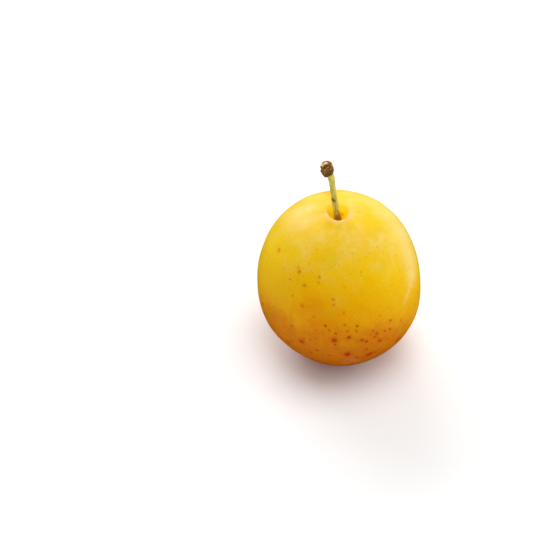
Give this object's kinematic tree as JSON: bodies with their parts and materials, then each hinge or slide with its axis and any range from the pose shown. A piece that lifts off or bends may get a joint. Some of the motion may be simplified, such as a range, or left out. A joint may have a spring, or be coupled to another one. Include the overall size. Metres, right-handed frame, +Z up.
{
  "type": "plum",
  "caption": "Whole ripe yellow plum standing on its base, with a stalk cavity in the crown and a slim stalk that ends in a dry corky knob.",
  "frame": {"origin": "centre of the fruit's girth seen from above, at the level of the flat spot that it rests on", "axes": "+Z up through the stalk cavity, +Y towards the side with the suture, stalk leaning towards -X"},
  "size_m": [0.0419, 0.0421, 0.0583],
  "materials": {
    "skin": "waxy satin with pale bloom",
    "stalk": "dry matte"
  },
  "bodies": {
    "root": {"fruit": "skin", "stalk": "stalk"}
  },
  "joints": []
}
